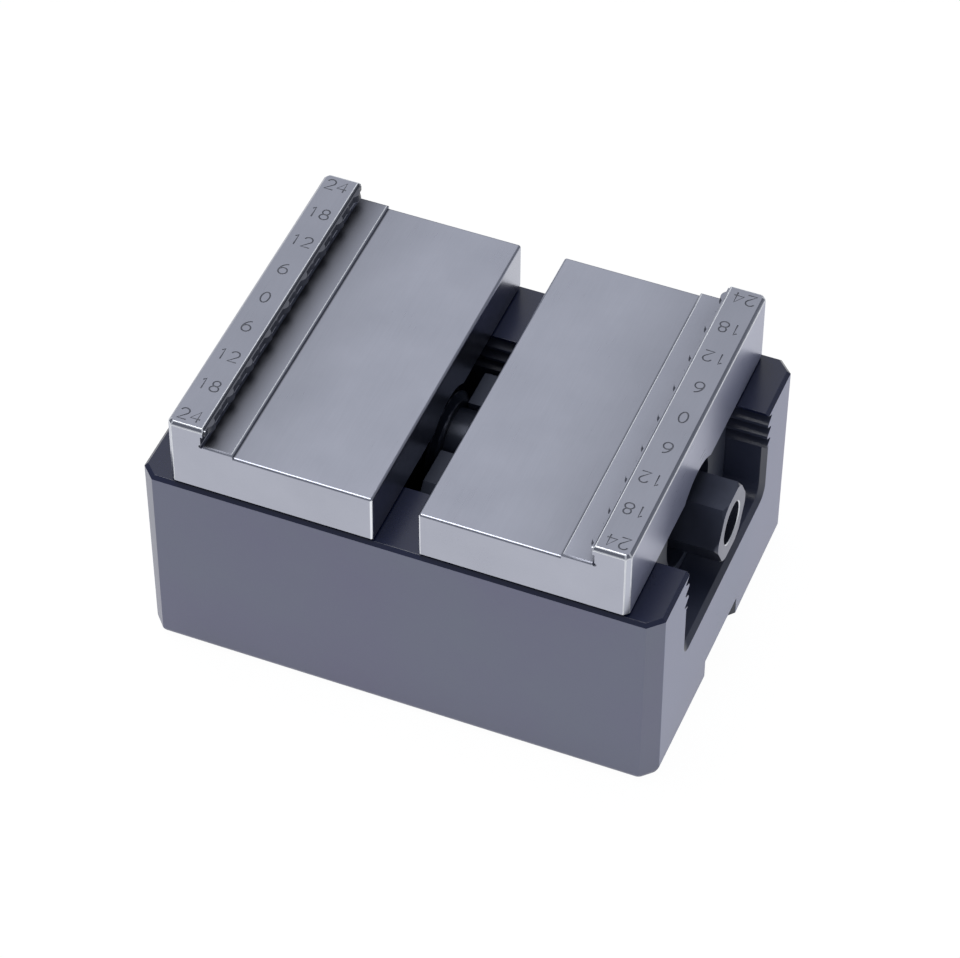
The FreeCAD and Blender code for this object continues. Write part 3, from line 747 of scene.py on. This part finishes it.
def screw_mesh(name, low, high, head_height, socket_flats):
    """A screw that points up, ring by ring: socket's floor and wall, knurled head, and threaded shank."""
    centre_x, centre_y = (low.x + high.x) / 2, (low.y + high.y) / 2
    head_radius = (high.x - low.x) / 2
    length = high.z - low.z
    angle = np.linspace(0, 2 * np.pi, 72, endpoint=False)
    knurled = head_radius - KNURL_DEPTH * (1 - np.abs(np.cos(angle * KNURLS / 2)))
    depth = 0.55 * head_height
    socket = hexagon_radius(socket_flats, angle)
    corner = socket_flats / math.sqrt(3) + 0.05 * MM
    rows = [
        (depth + 0.25 * MM, 0.0),
        (depth, socket * 0.82),
        (depth, socket),
        (HEAD_BREAK, socket),
        (0.0, np.maximum(socket, corner) + SOCKET_BREAK),
        (0.0, head_radius - HEAD_RIM),
        (HEAD_RIM * 0.3, head_radius - HEAD_RIM * 0.3),
        (HEAD_RIM, knurled),
        (head_height - HEAD_BREAK, knurled),
        (head_height, head_radius - HEAD_BREAK),
        (head_height, SCREW_RADIUS),
    ]
    for x in np.arange(head_height + PLAIN_SHANK, length, SCREW_PITCH / 5):
        cut = thread_groove(x, SCREW_PITCH, angle, crest=0.15, flank=0.6)
        tip = SCREW_RADIUS - np.clip(x - length + SCREW_TIP, 0, None)
        rows.append((x, np.minimum(SCREW_RADIUS - SCREW_THREAD_DEPTH * cut, tip)))
    rows.append((length, SCREW_RADIUS - SCREW_TIP))
    rows.append((length, 0.0))
    height = np.array([row[0] for row in rows])[:, None] + 0 * angle
    radius = np.array([row[1] + 0 * angle for row in rows])
    x, y = centre_x + radius * np.cos(angle), centre_y + radius * np.sin(angle)
    return ring_mesh(name, x, y, low.z + height)


screw_black = blackened_steel("screw_black_oxide", (0.040, 0.041, 0.047), (0.025, 0.026, 0.031), 0.30)
screw_sets = [
    ("left_jaw_screw", "left_jaw_unit", JAW_SCREW),
    ("right_jaw_screw", "right_jaw_unit", JAW_SCREW),
    ("fork_screw", "base", FORK_SCREW),
]
for kind, body, sizes in screw_sets:
    for number in range(1, 5):
        node = f"{kind}_{number}"
        low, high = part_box(node)
        mesh = screw_mesh(f"{node}_threaded", low, high, **sizes)
        mesh.materials.append(screw_black)
        screw = shown(f"{node}_threaded", mesh, body)
        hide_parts(node)


# Dowels
# Ground and hardened pins, half in each of the two pieces that they locate. They keep the solids' shape.

pin_finish, tone, dullness, relief = ground_steel(
    "dowel_ground_steel", (0.50, 0.51, 0.54), (0.44, 0.45, 0.48), 0.22
)
pin_finish.link("Base Color", tone)
pin_finish.link("Roughness", dullness)
pin_finish.bump(relief, GRINDING_RELIEF)
for node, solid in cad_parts.items():
    if "dowel" in node:
        solid.data.materials.clear()
        solid.data.materials.append(pin_finish.material)


# Floor, light and camera
# A plain white sweep under a dim even sky, with two large soft lamps, one above and one behind that the
# jaws' tops mirror, and a long lens, as in a catalogue picture.

FLOOR_HALF = 6.0
CAMERA_PLACE = (0.14496, -0.35766, 0.42314)
CAMERA_TURN = (43.7075, -0.1982, 22.0894)
CAMERA_LENS = 153.24


def studio_floor():
    """White paper that the camera and the steel see as plain white, with a faint shadow left on it."""
    mesh = bpy.data.meshes.new("floor")
    half = FLOOR_HALF
    mesh.from_pydata([(-half, -half, 0), (half, -half, 0), (half, half, 0), (-half, half, 0)], [], [range(4)])
    floor = bpy.data.objects.new("floor", mesh)
    bpy.context.scene.collection.objects.link(floor)
    material = bpy.data.materials.new("floor_paper")
    material.use_nodes = True
    tree = material.node_tree
    tree.nodes.clear()
    output = tree.nodes.new("ShaderNodeOutputMaterial")
    rays = tree.nodes.new("ShaderNodeLightPath")
    seen, mirrored, through = (
        Strand(tree, rays.outputs[f"Is {kind} Ray"]) for kind in ("Camera", "Glossy", "Transmission")
    )
    share = (seen + mirrored + through) * 0.95
    paper = seen.node("ShaderNodeBsdfDiffuse", {}, {"Color": colour(0.92, 0.92, 0.93)})
    white = seen.node("ShaderNodeEmission", {}, {"Color": colour(1.0, 1.0, 1.0), "Strength": 1.03})
    mixed = seen.node("ShaderNodeMixShader", {}, {0: share, 1: paper, 2: white})
    tree.links.new(mixed.socket, output.inputs[0])
    mesh.materials.append(material)


def soft_lamp(name, size, power, location):
    """A square soft white lamp that looks at the vise."""
    data = bpy.data.lights.new(name, "AREA")
    data.shape = "SQUARE"
    data.size = size
    data.energy = power
    lamp = bpy.data.objects.new(name, data)
    away = Vector(location) - Vector((0, 0, 0.02))
    lamp.location = location
    lamp.rotation_euler = away.to_track_quat("Z", "Y").to_euler()
    bpy.context.scene.collection.objects.link(lamp)


studio_floor()
world = bpy.data.worlds.new("studio")
bpy.context.scene.world = world
world.use_nodes = True
sky = world.node_tree.nodes["Background"]
sky.inputs["Color"].default_value = colour(0.90, 0.94, 1.03)
sky.inputs["Strength"].default_value = 0.3
soft_lamp("lamp_behind", 0.9, 1.3, (-0.46, 0.90, 0.94))
soft_lamp("lamp_above", 0.7, 7.0, (-0.22, 0.02, 1.20))

camera_data = bpy.data.cameras.new("camera")
camera_data.sensor_width = 36.0
camera_data.lens = CAMERA_LENS
camera_data.clip_start = 0.05
camera_data.clip_end = 20.0
camera = bpy.data.objects.new("camera", camera_data)
bpy.context.scene.collection.objects.link(camera)
camera.location = CAMERA_PLACE
camera.rotation_euler = [math.radians(turn) for turn in CAMERA_TURN]
bpy.context.scene.camera = camera
bpy.context.scene.view_settings.view_transform = "Standard"
